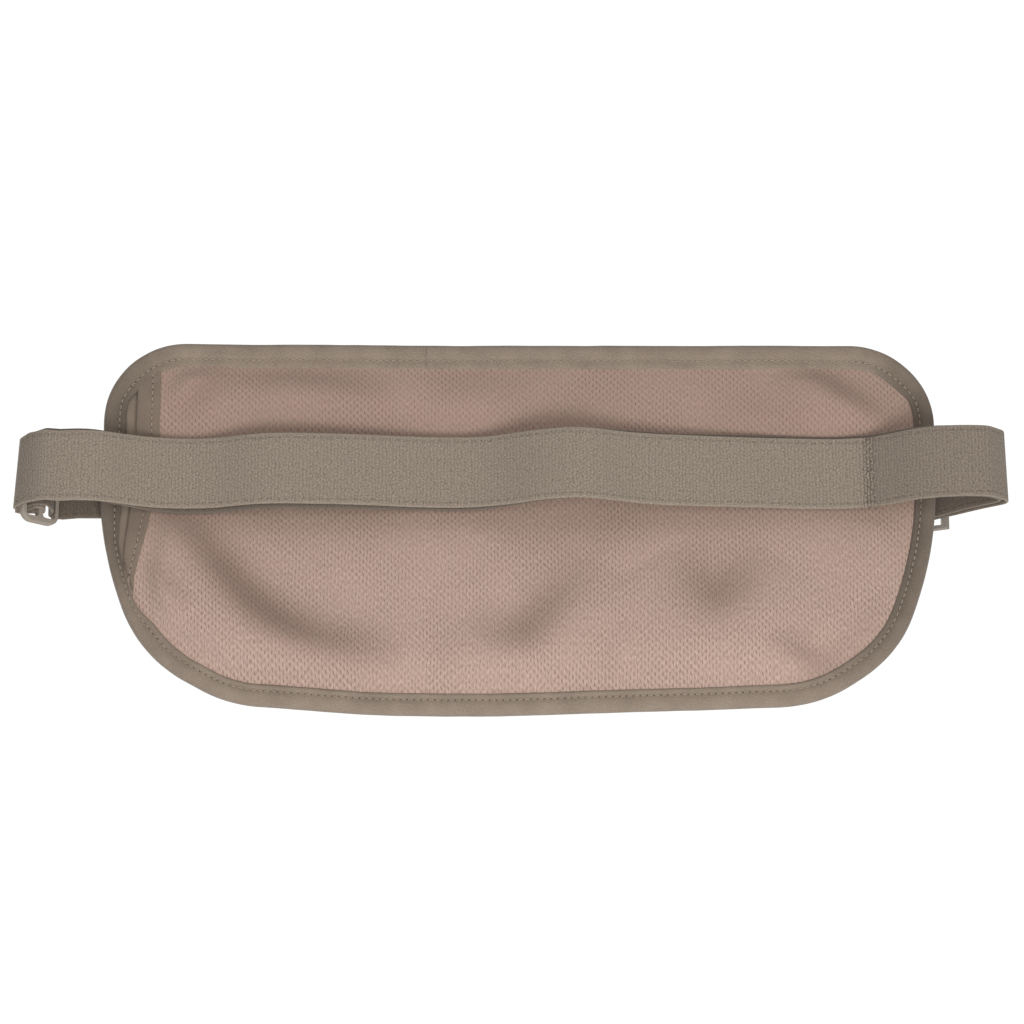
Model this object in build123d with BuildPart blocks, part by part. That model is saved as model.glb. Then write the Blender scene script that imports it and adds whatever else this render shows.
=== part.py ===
from build123d import *
import math
import os

os.makedirs("parts", exist_ok=True)

# A money belt: a flat zipped pouch worn on a doubled elastic waist strap. All sizes in mm.
# X runs along the belt, Z is up as it is worn, and -Y is the side that lies on the body.

# Pouch outline
pouch_half_width = 142.6
pouch_top = 66.4
pouch_bottom = -66.8
top_corner_radius = 29.0
side_taper_top = -4.7
side_taper_radius = 131.0
bottom_corner = (129.8, -45.2)
bottom_corner_radius = 47.0
bottom_shoulder = (101.2, -63.4)
bottom_shoulder_radius = 50.0
bottom_centre_radius = 700.0

# Edge binding: a folded tape with a lip on each face
binding_half_depth = 3.1
binding_thickness = 0.5
binding_lip = 7.2
edge_clearance = 0.2

# Levels of the cloth layers, from the body side to the outer side
mesh_levels = (-2.5, -2.1)
hem_levels = (-3.0, -2.55)
lining_levels = (-1.4, -1.1)
divider_levels = (-0.2, 0.1)
tape_levels = (1.5, 2.0)
panel_levels = (2.1, 2.5)

# Hemmed opening of the slip pocket behind the mesh
hem_width = 8.0
hem_outer_x = -130.3
hem_turn_z = 20.0
hem_lower_outer = (-135.2, -17.0)

# Zips
upper_zip_z = 45.0
lower_zip_z = -13.0
zip_window_half = 5.5
tape_half_width = 11.0
tape_half_length = 136.0
chain_gap_half = 0.45
chain_half_width = 2.6
chain_depth = 1.2
chain_half_length = 129.0
stop_length = 2.0
slider_rest_x = -121.0
slider_half_length = 5.0
slider_half_width = 3.9
pull_length = 20.0
pull_pivot_height = 5.1
pull_eye_radius = 1.6

# Elastic webbing
strap_width = 25.0
strap_thickness = 1.0
strap_centre_z = 18.3
strap_bottom_z = strap_centre_z - strap_width / 2
layer_step = 1.75
wave_radius = 200.0
loop_radius = 14.0
fold_radius = 1.4

# Tri-glide adjuster, lying across the left fold
triglide_centre = (-162.6, -1.7)
triglide_centre_z = 17.5
triglide_angle = 40.0
triglide_length = 14.8
triglide_height = 31.4
triglide_depth = 2.5
triglide_bar = 1.6
triglide_slot_height = 27.2

# Side-release buckle behind the right end of the pouch
buckle_y = 12.4
buckle_depth = 6.4
buckle_wall = 1.1
frame_depth = 2.6
female_half_height = 16.5
male_half_height = 15.4
slot_half_height = 14.2
female_bar_x = (84.0, 86.4)
female_slot_end = 91.0
female_mouth_x = 116.0
female_back_wall_x = 93.5
cavity_half_height = 12.2
window_x = (97.0, 108.6)
window_inner = 11.0
finger_scallop = 14.0
male_base_x = (116.3, 124.0)
inner_bar_x = (133.0, 135.4)
inner_slot_start = 128.0
frame_bend_x = 136.7
frame_end = (147.1, 7.5)
end_bar_width = 1.7
tongue_tip_x = 97.0
tongue_half_height = 2.0


def finish(builder, name):
    """Label a finished piece and write it to its own file."""
    builder.part.label = name
    export_step(builder.part, f"parts/{name}.step")


def level(y):
    """A drawing plane that faces the body at the given depth: local x, y are X, Z."""
    return Plane.XZ.offset(-y)


def outline(inset):
    """The pouch's outline, drawn in by the given distance."""
    with BuildSketch() as shape:
        with BuildLine():
            FilletPolyline(
                (0, pouch_top),
                (pouch_half_width, pouch_top - 0.8),
                (pouch_half_width, side_taper_top),
                bottom_corner,
                bottom_shoulder,
                (0, pouch_bottom),
                radius=[
                    top_corner_radius,
                    side_taper_radius,
                    bottom_corner_radius,
                    bottom_shoulder_radius,
                ],
            )
            Line((0, pouch_bottom), (0, pouch_top))
        make_face()
        mirror(about=Plane.YZ)
        fillet(shape.vertices().sort_by(Axis.Y)[0], bottom_centre_radius)
        if inset > 0:
            offset(amount=-inset, kind=Kind.INTERSECTION)
    return shape.sketch


def bend_radii(points, largest):
    """A radius for each corner of a run of webbing, as large as its straight runs allow."""
    radii = []
    for before, corner, after in zip(points, points[1:], points[2:]):
        run_in = math.dist(before, corner)
        run_out = math.dist(corner, after)
        heading_in = math.atan2(corner[1] - before[1], corner[0] - before[0])
        heading_out = math.atan2(after[1] - corner[1], after[0] - corner[0])
        turn = abs(math.remainder(heading_out - heading_in, 2 * math.pi))
        radii.append(min(largest, 0.45 * min(run_in, run_out) / math.tan(turn / 2)))
    return radii


def webbing_part(points, largest_radius):
    """A band of webbing that stands on edge along a path seen from above."""
    with BuildPart() as band:
        with BuildSketch(Plane.XY.offset(strap_bottom_z)):
            with BuildLine():
                FilletPolyline(*points, radius=bend_radii(points, largest_radius))
            trace(line_width=strap_thickness)
        extrude(amount=strap_width)
    return band


full_outline = outline(0)
cavity_outline = outline(binding_thickness)
cloth_outline = outline(binding_thickness + edge_clearance)
window_outline = outline(binding_lip)
inner_outline = outline(binding_lip + edge_clearance)

# ---------------------------------------------------------------- pouch cloth

with BuildPart() as edge_binding:
    with BuildSketch(level(binding_half_depth)):
        add(full_outline)
    extrude(amount=2 * binding_half_depth)
    with BuildSketch(level(binding_half_depth - binding_thickness)):
        add(cavity_outline)
    extrude(amount=2 * (binding_half_depth - binding_thickness), mode=Mode.SUBTRACT)
    with BuildSketch(level(binding_half_depth)):
        add(window_outline)
    extrude(amount=2 * binding_half_depth, mode=Mode.SUBTRACT)
finish(edge_binding, "edge_binding")

with BuildPart() as back_mesh_panel:
    with BuildSketch(level(mesh_levels[1])):
        add(cloth_outline)
        with BuildLine():
            Polyline(
                (hem_outer_x - 40, pouch_top + 10),
                (hem_outer_x + 0.5, pouch_top + 10),
                (hem_outer_x + 0.5, hem_turn_z),
                hem_lower_outer,
                (hem_lower_outer[0] - 5.8, hem_lower_outer[1] - 17),
                (hem_outer_x - 40, hem_lower_outer[1] - 17),
                close=True,
            )
        make_face(mode=Mode.SUBTRACT)
    extrude(amount=mesh_levels[1] - mesh_levels[0])
finish(back_mesh_panel, "back_mesh_panel")

with BuildPart() as mesh_hem_tape:
    with BuildSketch(level(hem_levels[1])):
        with BuildLine():
            Polyline(
                (hem_outer_x, pouch_top),
                (hem_outer_x + hem_width, pouch_top),
                (hem_outer_x + hem_width, hem_turn_z),
                (hem_lower_outer[0] + hem_width, hem_lower_outer[1]),
                (hem_lower_outer[0] + hem_width - 3, hem_lower_outer[1] - 14),
                (hem_lower_outer[0] - 4, hem_lower_outer[1] - 14),
                hem_lower_outer,
                (hem_outer_x, hem_turn_z),
                close=True,
            )
        make_face()
        add(inner_outline, mode=Mode.INTERSECT)
    extrude(amount=hem_levels[1] - hem_levels[0])
finish(mesh_hem_tape, "mesh_hem_tape")

with BuildPart() as lining_panel:
    with BuildSketch(level(lining_levels[1])):
        add(cloth_outline)
    extrude(amount=lining_levels[1] - lining_levels[0])
finish(lining_panel, "lining_panel")

with BuildPart() as pocket_divider:
    with BuildSketch(level(divider_levels[1])):
        add(cloth_outline)
    extrude(amount=divider_levels[1] - divider_levels[0])
finish(pocket_divider, "pocket_divider")


def front_panel(name, low_z, high_z):
    """One panel of the outer face, between two heights."""
    with BuildPart() as panel:
        with BuildSketch(level(panel_levels[1])):
            with Locations((0, (low_z + high_z) / 2)):
                Rectangle(3 * pouch_half_width, high_z - low_z)
            add(cloth_outline, mode=Mode.INTERSECT)
        extrude(amount=panel_levels[1] - panel_levels[0])
    finish(panel, name)


front_panel("front_top_panel", upper_zip_z + zip_window_half, pouch_top)
front_panel("front_middle_panel", lower_zip_z + zip_window_half, upper_zip_z - zip_window_half)
front_panel("front_lower_panel", pouch_bottom, lower_zip_z - zip_window_half)

# ----------------------------------------------------------------------- zips


def zip_tape(name, zip_z, side):
    """One half of a zip's woven tape; side is +1 above the chain and -1 below it."""
    middle = zip_z + side * (chain_gap_half + tape_half_width) / 2
    with BuildPart() as tape:
        with BuildSketch(level(tape_levels[1])):
            with Locations((0, middle)):
                Rectangle(2 * tape_half_length, tape_half_width - chain_gap_half)
            add(cloth_outline, mode=Mode.INTERSECT)
        extrude(amount=tape_levels[1] - tape_levels[0])
    finish(tape, name)


def zip_chain(name, zip_z, side):
    """One half of the coil, as a rounded bar on the tape's inner edge."""
    middle = zip_z + side * (chain_gap_half + chain_half_width) / 2
    with BuildPart() as chain:
        with BuildSketch(level(tape_levels[1] + chain_depth)):
            with Locations((0, middle)):
                Rectangle(2 * chain_half_length, chain_half_width - chain_gap_half)
        extrude(amount=chain_depth)
        outer_edges = chain.faces().sort_by(Axis.Y)[-1].edges().filter_by(Axis.X)
        fillet(outer_edges, 0.4)
    finish(chain, name)


def zip_stop(name, zip_z, side):
    """The clamp at one end of the chain."""
    middle = side * (chain_half_length + edge_clearance + stop_length / 2)
    with BuildPart() as stop:
        with BuildSketch(level(tape_levels[1] + chain_depth)):
            with Locations((middle, zip_z)):
                Rectangle(stop_length, 2 * chain_half_width)
        extrude(amount=chain_depth)
        fillet(stop.edges().filter_by(Axis.Y), 0.5)
    finish(stop, name)


def zip_slider(name, zip_z):
    """A slider body: two plates joined by a post, with a bridge for the pull."""
    base_y = tape_levels[0] - 0.9
    top_y = tape_levels[1] + chain_depth + 0.1
    plate = 0.9
    bridge_half = 3.4
    hole_half = 1.9
    with BuildPart() as slider:
        with BuildSketch(level(base_y + plate - 0.1)):
            with Locations((slider_rest_x, zip_z)):
                RectangleRounded(2 * slider_half_length, 2 * slider_half_width, 1.6)
        extrude(amount=plate - 0.1)
        with BuildSketch(level(top_y + plate)):
            with Locations((slider_rest_x, zip_z)):
                RectangleRounded(2 * slider_half_length, 2 * slider_half_width, 1.6)
        extrude(amount=plate)
        for side in (-1, 1):
            with BuildSketch(level(top_y + 0.1)):
                with Locations((slider_rest_x, zip_z + side * (slider_half_width - 0.4))):
                    Rectangle(2 * slider_half_length - 3.4, 0.8)
            extrude(amount=0.9)
        with BuildSketch(level(top_y + 0.1)):
            with Locations((slider_rest_x + 2.4, zip_z)):
                Rectangle(3.0, 0.6)
        extrude(amount=top_y - base_y)
        with BuildSketch(Plane.XY.offset(zip_z - 1.1)):
            with Locations((slider_rest_x, top_y + plate + 1.1)):
                RectangleRounded(2 * bridge_half, 2.8, 1.2)
            with Locations((slider_rest_x, pull_pivot_height)):
                RectangleRounded(2 * hole_half, 1.8, 0.7, mode=Mode.SUBTRACT)
        extrude(amount=2.2)
    finish(slider, name)


def zip_pull(name, zip_z):
    """A pull tab: a cross pin under the slider's bridge, two arms and a tongue with an eye."""
    arm_depth = 1.2
    plane = level(pull_pivot_height + arm_depth / 2)
    start_x = slider_rest_x
    with BuildPart() as pull:
        with BuildSketch(plane):
            with Locations((start_x + pull_length / 2 + 2.4, zip_z)):
                RectangleRounded(pull_length - 4.2, 6.4, 2.2)
            with Locations((start_x + 3.2, zip_z - 2.1), (start_x + 3.2, zip_z + 2.1)):
                Rectangle(6.4, 1.1)
            with Locations((start_x + 4.7, zip_z)):
                Rectangle(1.2, 3.4, mode=Mode.SUBTRACT)
            with Locations((start_x + pull_length - 2.4, zip_z)):
                Circle(pull_eye_radius, mode=Mode.SUBTRACT)
        extrude(amount=arm_depth)
        with BuildSketch(Plane.XY.offset(zip_z - 2.65)):
            with Locations((start_x, pull_pivot_height)):
                Circle(arm_depth / 2)
        extrude(amount=5.3)
    finish(pull, name)


for prefix, zip_z in (("upper_zip", upper_zip_z), ("lower_zip", lower_zip_z)):
    zip_tape(f"{prefix}_tape_top", zip_z, 1)
    zip_tape(f"{prefix}_tape_bottom", zip_z, -1)
    zip_chain(f"{prefix}_coil_top", zip_z, 1)
    zip_chain(f"{prefix}_coil_bottom", zip_z, -1)
    zip_stop(f"{prefix}_closed_stop", zip_z, -1)
    zip_stop(f"{prefix}_open_stop", zip_z, 1)
    zip_slider(f"{prefix}_slider", zip_z)
    zip_pull(f"{prefix}_pull", zip_z)

# ---------------------------------------------------------------------- strap

# The front run's outer layer, seen from above, from the left fold to the right fold
front_run = [
    (-158.0, -14.6),
    (-144.0, -16.2),
    (-124.0, -6.4),
    (-106.0, -5.0),
    (-86.0, -12.8),
    (-56.0, -10.8),
    (-30.0, -6.4),
    (-8.0, -6.2),
    (8.0, -17.4),
    (22.0, -20.0),
    (42.0, -11.0),
    (70.0, -8.0),
    (96.0, -5.4),
    (118.0, -5.0),
    (136.0, -18.4),
    (150.0, -20.8),
    (158.0, -20.4),
]
outer_run = front_run
inner_run = [(x, y + layer_step) for x, y in front_run]

strap_front_outer = webbing_part(outer_run, wave_radius)
finish(strap_front_outer, "strap_front_outer")

strap_front_inner = webbing_part(inner_run, wave_radius)
finish(strap_front_inner, "strap_front_inner")

# The single run that is sewn to the outer face and leads to the tri-glide
anchor_y = panel_levels[1] + 0.1 + strap_thickness / 2
side_run_y = 5.4
anchor_path = [(-96.0, anchor_y), (-127.0, anchor_y), (-138.0, side_run_y), (-150.0, side_run_y)]
strap_anchor_run = webbing_part(anchor_path, wave_radius)
finish(strap_anchor_run, "strap_anchor_run")


def on_triglide(along, towards_body):
    """A point given along the tri-glide and out of its body-side face, as X, Y."""
    angle = math.radians(triglide_angle)
    x = triglide_centre[0] + along * math.cos(angle) + towards_body * math.sin(angle)
    y = triglide_centre[1] + along * math.sin(angle) - towards_body * math.cos(angle)
    return (x, y)


# The running layer: under the right bar, over the middle bar, round the left bar
running_path = [
    (-150.2, side_run_y),
    (-154.6, side_run_y),
    on_triglide(8.4, -2.3),
    on_triglide(5.1, -2.3),
    on_triglide(3.8, 3.5),
    on_triglide(-3.6, 3.5),
    on_triglide(-5.1, -2.0),
    on_triglide(-8.2, -2.0),
    on_triglide(-8.2, 2.0),
    (inner_run[0][0] - 2.2, inner_run[0][1] + 0.1),
    (inner_run[0][0] - 0.1, inner_run[0][1]),
]
strap_left_fold = webbing_part(running_path, fold_radius)
finish(strap_left_fold, "strap_left_fold")

# The sewn end: round the middle bar, its tail stitched back under the left bar
end_path = [
    on_triglide(-6.8, -4.7),
    on_triglide(-3.4, -4.7),
    on_triglide(-1.0, -2.0),
    on_triglide(1.7, -2.0),
    on_triglide(1.7, 2.0),
    on_triglide(-2.0, 2.0),
    on_triglide(-3.8, -3.35),
    on_triglide(-8.5, -3.35),
    on_triglide(-9.6, -2.1),
    on_triglide(-9.6, 2.4),
    (outer_run[0][0] - 2.6, outer_run[0][1] + 0.2),
    (outer_run[0][0] - 0.1, outer_run[0][1]),
]
strap_end_loop = webbing_part(end_path, fold_radius)
finish(strap_end_loop, "strap_end_loop")

# The loop at the right: round the right fold, round the buckle's inner bar and back
right_loop_path = [
    (outer_run[-1][0] + 0.1, outer_run[-1][1]),
    (159.4, -20.2),
    (167.0, -13.0),
    (142.8, 7.0),
    (136.9, 14.9),
    (132.0, 14.9),
    (132.0, 10.1),
    (136.0, 10.0),
    (163.8, -13.9),
    (159.4, -18.5),
    (inner_run[-1][0] + 0.1, inner_run[-1][1]),
]
strap_right_loop = webbing_part(right_loop_path, loop_radius)
finish(strap_right_loop, "strap_right_loop")

# The short tab that is sewn to the outer face and folded round the buckle's fixed bar
tab_path = [
    (50.0, anchor_y),
    (72.5, anchor_y),
    (84.6, 9.9),
    (87.7, 10.1),
    (87.7, 14.7),
    (83.3, 14.8),
    (71.4, anchor_y + 1.2),
    (50.0, anchor_y + 1.2),
]
strap_buckle_tab = webbing_part(tab_path, loop_radius)
finish(strap_buckle_tab, "strap_buckle_tab")

# ------------------------------------------------------------------- tri-glide

triglide_plane = Plane(
    origin=(*on_triglide(0, 0), triglide_centre_z),
    x_dir=(math.cos(math.radians(triglide_angle)), math.sin(math.radians(triglide_angle)), 0),
    z_dir=(math.sin(math.radians(triglide_angle)), -math.cos(math.radians(triglide_angle)), 0),
)
slot_width = (triglide_length - 3 * triglide_bar) / 2

with BuildPart() as triglide_slider:
    with BuildSketch(triglide_plane.offset(-triglide_depth / 2)):
        RectangleRounded(triglide_length, triglide_height, 4.0)
        with Locations((-(triglide_bar + slot_width) / 2, 0), ((triglide_bar + slot_width) / 2, 0)):
            RectangleRounded(slot_width, triglide_slot_height, 1.2, mode=Mode.SUBTRACT)
    extrude(amount=triglide_depth)
    for face in triglide_slider.faces().sort_by(SortBy.AREA)[-2:]:
        fillet(face.outer_wire().edges(), 0.5)
finish(triglide_slider, "triglide_slider")

# --------------------------------------------------------------------- buckle




with BuildPart() as buckle_female:
    with BuildSketch(level(buckle_y + buckle_depth / 2)):
        with Locations(((female_slot_end + female_mouth_x) / 2, strap_centre_z)):
            RectangleRounded(female_mouth_x - female_slot_end, 2 * female_half_height, 2.0)
    extrude(amount=buckle_depth)
    with BuildSketch(level(buckle_y + frame_depth / 2)):
        with Locations(((female_bar_x[0] + female_slot_end + 2) / 2, strap_centre_z)):
            RectangleRounded(female_slot_end + 2 - female_bar_x[0], 2 * male_half_height, 2.0)
        with Locations(((female_bar_x[1] + female_slot_end) / 2, strap_centre_z)):
            Rectangle(female_slot_end - female_bar_x[1], 2 * slot_half_height, mode=Mode.SUBTRACT)
    extrude(amount=frame_depth)
    with BuildSketch(level(buckle_y + buckle_depth / 2 - buckle_wall)):
        with Locations(((female_back_wall_x + female_mouth_x + 5) / 2, strap_centre_z)):
            Rectangle(female_mouth_x + 5 - female_back_wall_x, 2 * cavity_half_height)
        for side in (-1, 1):
            with Locations(((window_x[0] + window_x[1]) / 2, strap_centre_z + side * (window_inner + 5))):
                Rectangle(window_x[1] - window_x[0], 10)
    extrude(amount=buckle_depth - 2 * buckle_wall, mode=Mode.SUBTRACT)
    with BuildSketch(level(buckle_y + buckle_depth / 2)):
        for side in (-1, 1):
            with Locations(((window_x[0] + window_x[1]) / 2, strap_centre_z + side * (finger_scallop + 5))):
                RectangleRounded(window_x[1] - window_x[0], 10, 2.0)
    extrude(amount=buckle_depth, mode=Mode.SUBTRACT)
finish(buckle_female, "buckle_female")

with BuildPart() as buckle_male:
    with BuildSketch(level(buckle_y + buckle_depth / 2)):
        with Locations(((male_base_x[0] + male_base_x[1]) / 2, strap_centre_z)):
            RectangleRounded(male_base_x[1] - male_base_x[0], 2 * male_half_height, 1.6)
    extrude(amount=buckle_depth)
    with BuildSketch(Plane.XY.offset(strap_centre_z - male_half_height)):
        with BuildLine():
            FilletPolyline(
                (male_base_x[1] - 1, buckle_y),
                (frame_bend_x, buckle_y),
                frame_end,
                radius=6.0,
            )
        trace(line_width=frame_depth)
    extrude(amount=2 * male_half_height)
    with BuildSketch(Plane.XY.offset(strap_centre_z - slot_half_height)):
        with Locations(((inner_slot_start + inner_bar_x[0]) / 2, buckle_y)):
            Rectangle(inner_bar_x[0] - inner_slot_start, 4 * frame_depth)
        opening_end = frame_end[0] - 0.6 - end_bar_width
        with Locations(((inner_bar_x[1] + opening_end) / 2, buckle_y - 2)):
            Rectangle(opening_end - inner_bar_x[1], 6 * frame_depth)
    extrude(amount=2 * slot_half_height, mode=Mode.SUBTRACT)
    with BuildSketch(level(buckle_y + 1.1)):
        with Locations(((tongue_tip_x + male_base_x[0] + 1) / 2, strap_centre_z)):
            RectangleRounded(male_base_x[0] + 1 - tongue_tip_x, 2 * tongue_half_height, 1.2)
    extrude(amount=2.2)
finish(buckle_male, "buckle_male")


def prong(name, side):
    """One sprung arm of the male part, with the head that latches in the side window."""
    head_x = window_x[1] - 0.3
    with BuildPart() as arm:
        with BuildSketch(level(buckle_y + 1.7)):
            with BuildLine():
                Polyline(
                    (male_base_x[0] - 0.15, strap_centre_z + side * 7.0),
                    (male_base_x[0] - 0.15, strap_centre_z + side * 9.4),
                    (head_x, strap_centre_z + side * 9.0),
                    (head_x, strap_centre_z + side * 13.6),
                    (window_x[0] + 4.4, strap_centre_z + side * 15.4),
                    (window_x[0] + 1.6, strap_centre_z + side * 14.4),
                    (window_x[0] - 0.8, strap_centre_z + side * 10.4),
                    (window_x[0] - 0.8, strap_centre_z + side * 7.0),
                    close=True,
                )
            make_face()
        extrude(amount=3.4)
        fillet(arm.edges().filter_by(Axis.Y), 0.5)
    finish(arm, name)


prong("buckle_prong_top", 1)
prong("buckle_prong_bottom", -1)
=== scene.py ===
import math
import bmesh
import bpy
import numpy as np
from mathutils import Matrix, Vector, noise


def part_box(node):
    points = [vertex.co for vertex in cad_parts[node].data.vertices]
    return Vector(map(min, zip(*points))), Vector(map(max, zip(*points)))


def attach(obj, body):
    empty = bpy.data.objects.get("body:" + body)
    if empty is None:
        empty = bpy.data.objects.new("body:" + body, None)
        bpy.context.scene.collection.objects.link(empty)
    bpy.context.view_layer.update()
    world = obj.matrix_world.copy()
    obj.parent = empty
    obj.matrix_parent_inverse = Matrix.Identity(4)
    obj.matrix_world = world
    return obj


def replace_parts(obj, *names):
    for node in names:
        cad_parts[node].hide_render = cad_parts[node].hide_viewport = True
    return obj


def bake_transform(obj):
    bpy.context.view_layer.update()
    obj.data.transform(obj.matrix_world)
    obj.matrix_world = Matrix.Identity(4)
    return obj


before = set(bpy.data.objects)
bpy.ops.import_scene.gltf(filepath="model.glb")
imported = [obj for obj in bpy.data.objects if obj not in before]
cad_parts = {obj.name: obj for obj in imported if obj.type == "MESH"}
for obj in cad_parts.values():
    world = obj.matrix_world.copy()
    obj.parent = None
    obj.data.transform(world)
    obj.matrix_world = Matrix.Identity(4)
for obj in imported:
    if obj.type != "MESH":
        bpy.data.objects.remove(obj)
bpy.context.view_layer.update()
scene = bpy.context.scene

# Lengths below are in millimetres until a mesh is made. X runs along the belt, Z is up
# and -Y is the side that lies on the body.


def box_mm(node):
    """The lowest and highest corner of a CAD node, in millimetres."""
    low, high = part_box(node)
    return np.array(low) * 1000, np.array(high) * 1000


def srgb(red, green, blue):
    """A colour given as 0-255 values, as a linear node colour."""
    linear = [((v / 255 + 0.055) / 1.055) ** 2.4 for v in (red, green, blue)]
    return (*linear, 1.0)


# ------------------------------------------------------------------- materials


class Surface:
    """A node material in the making, with short names for the nodes it is built from."""

    def __init__(self, name, roughness, sheen=0.0, metallic=0.0):
        self.material = bpy.data.materials.new(name)
        self.material.use_nodes = True
        self.tree = self.material.node_tree
        self.shader = self.tree.nodes["Principled BSDF"]
        self.shader.inputs["Roughness"].default_value = roughness
        self.shader.inputs["Metallic"].default_value = metallic
        self.shader.inputs["Sheen Weight"].default_value = sheen
        self.shader.inputs["Sheen Roughness"].default_value = 0.5
        self.shader.inputs["Specular IOR Level"].default_value = 0.25

    def put(self, socket, value):
        if isinstance(value, bpy.types.NodeSocket):
            self.tree.links.new(value, socket)
        else:
            socket.default_value = value

    def math(self, operation, first, second=0.0, third=0.0, clamp=False):
        node = self.tree.nodes.new("ShaderNodeMath")
        node.operation = operation
        node.use_clamp = clamp
        for socket, value in zip(node.inputs, (first, second, third)):
            self.put(socket, value)
        return node.outputs[0]

    def add(self, first, second):
        return self.math("ADD", first, second)

    def times(self, first, second):
        return self.math("MULTIPLY", first, second)

    def between(self, value, low, high, start=0.0, end=1.0):
        """value taken from the range low..high to start..end, smoothly and held at the ends."""
        node = self.tree.nodes.new("ShaderNodeMapRange")
        node.interpolation_type = "SMOOTHSTEP"
        for socket, number in zip(node.inputs, (value, low, high, start, end)):
            self.put(socket, number)
        return node.outputs[0]

    def ridge(self, value, pitch, offset=0.0):
        """0 at each multiple of pitch and 1 half way between."""
        turned = self.add(self.math("DIVIDE", value, pitch), offset)
        return self.math("ABSOLUTE", self.math("SINE", self.times(turned, math.pi)))

    def mapped(self):
        """The flat coordinates of the cloth in millimetres: along, across, and both together."""
        uv = self.tree.nodes.new("ShaderNodeUVMap").outputs[0]
        split = self.tree.nodes.new("ShaderNodeSeparateXYZ")
        self.put(split.inputs[0], uv)
        return split.outputs[0], split.outputs[1], uv

    def marked(self, name):
        """A number stored on the mesh's points, 0 where the mesh has none."""
        node = self.tree.nodes.new("ShaderNodeAttribute")
        node.attribute_name = name
        return node.outputs["Fac"]

    def solid(self):
        return self.tree.nodes.new("ShaderNodeTexCoord").outputs["Object"]

    def noise(self, vector, scale, detail=2.0, roughness=0.5):
        node = self.tree.nodes.new("ShaderNodeTexNoise")
        self.put(node.inputs["Vector"], vector)
        self.put(node.inputs["Scale"], scale)
        self.put(node.inputs["Detail"], detail)
        self.put(node.inputs["Roughness"], roughness)
        return node.outputs[0]

    def mix(self, amount, first, second):
        node = self.tree.nodes.new("ShaderNodeMix")
        node.data_type = "RGBA"
        self.put(node.inputs[0], amount)
        self.put(node.inputs[6], first)
        self.put(node.inputs[7], second)
        return node.outputs[2]

    def finish(self, colour, height, depth):
        """Takes the colour, and a height from 0 to 1 that stands for depth metres of relief."""
        bump = self.tree.nodes.new("ShaderNodeBump")
        self.put(bump.inputs["Height"], height)
        self.put(bump.inputs["Distance"], depth)
        self.put(bump.inputs["Strength"], 1.0)
        self.put(self.shader.inputs["Base Color"], colour)
        self.tree.links.new(bump.outputs[0], self.shader.inputs["Normal"])
        return self.material


def webbing_surface():
    """Ribbed elastic webbing: knotted columns across the band and plain edges."""
    cloth = Surface("webbing", 0.85, sheen=0.15)
    along, across, flat = cloth.mapped()
    wander = cloth.times(cloth.add(cloth.noise(flat, 0.45, 3.0, 0.6), -0.5), 2.4)
    column = cloth.ridge(cloth.add(along, wander), 1.17)
    number = cloth.math("FLOOR", cloth.math("DIVIDE", along, 1.17))
    stepped = cloth.times(cloth.math("MODULO", number, 2.0), 0.7)
    row = cloth.ridge(cloth.add(cloth.add(across, stepped), wander), 1.4, 0.5)
    knots = cloth.add(cloth.times(column, 0.45), cloth.times(row, 0.25))
    knots = cloth.add(knots, cloth.times(cloth.between(cloth.noise(flat, 0.9, 2.0, 0.6), 0.3, 0.7), 0.3))
    from_edge = cloth.math("SUBTRACT", 12.5, cloth.math("ABSOLUTE", across))
    beside_row = cloth.math("ABSOLUTE", cloth.add(from_edge, -1.7))
    dots = cloth.times(cloth.between(beside_row, 0.25, 0.5, 1.0, 0.0), cloth.ridge(along, 2.9))
    selvage = cloth.between(from_edge, 0.35, 0.9)
    height = cloth.mix(selvage, (0.8, 0.8, 0.8, 1), cloth.math("SUBTRACT", knots, cloth.times(dots, 0.35)))
    speckle = cloth.between(cloth.noise(flat, 1.9, 2.0, 0.7), 0.3, 0.7)
    tone = cloth.add(cloth.times(height, 0.5), cloth.times(speckle, 0.5))
    colour = cloth.mix(tone, srgb(90, 81, 71), srgb(167, 153, 138))
    # Painted shade between the packed ribs in the crease of the sharp bend
    crease_shade_mix = cloth.times(cloth.marked("painted_crease_shade"), cloth.between(knots, 0.35, 0.8, 1.0, 0.0))
    colour = cloth.mix(cloth.times(crease_shade_mix, 0.75), colour, srgb(74, 64, 55))
    # Painted shade where the strap faces the body behind itself and past its bends
    colour = cloth.mix(cloth.times(cloth.marked("painted_shade"), 0.6), colour, srgb(72, 62, 53))
    relief = cloth.add(cloth.times(height, 0.6), cloth.times(speckle, 0.4))
    return cloth.finish(colour, relief, 0.00015)


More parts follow.
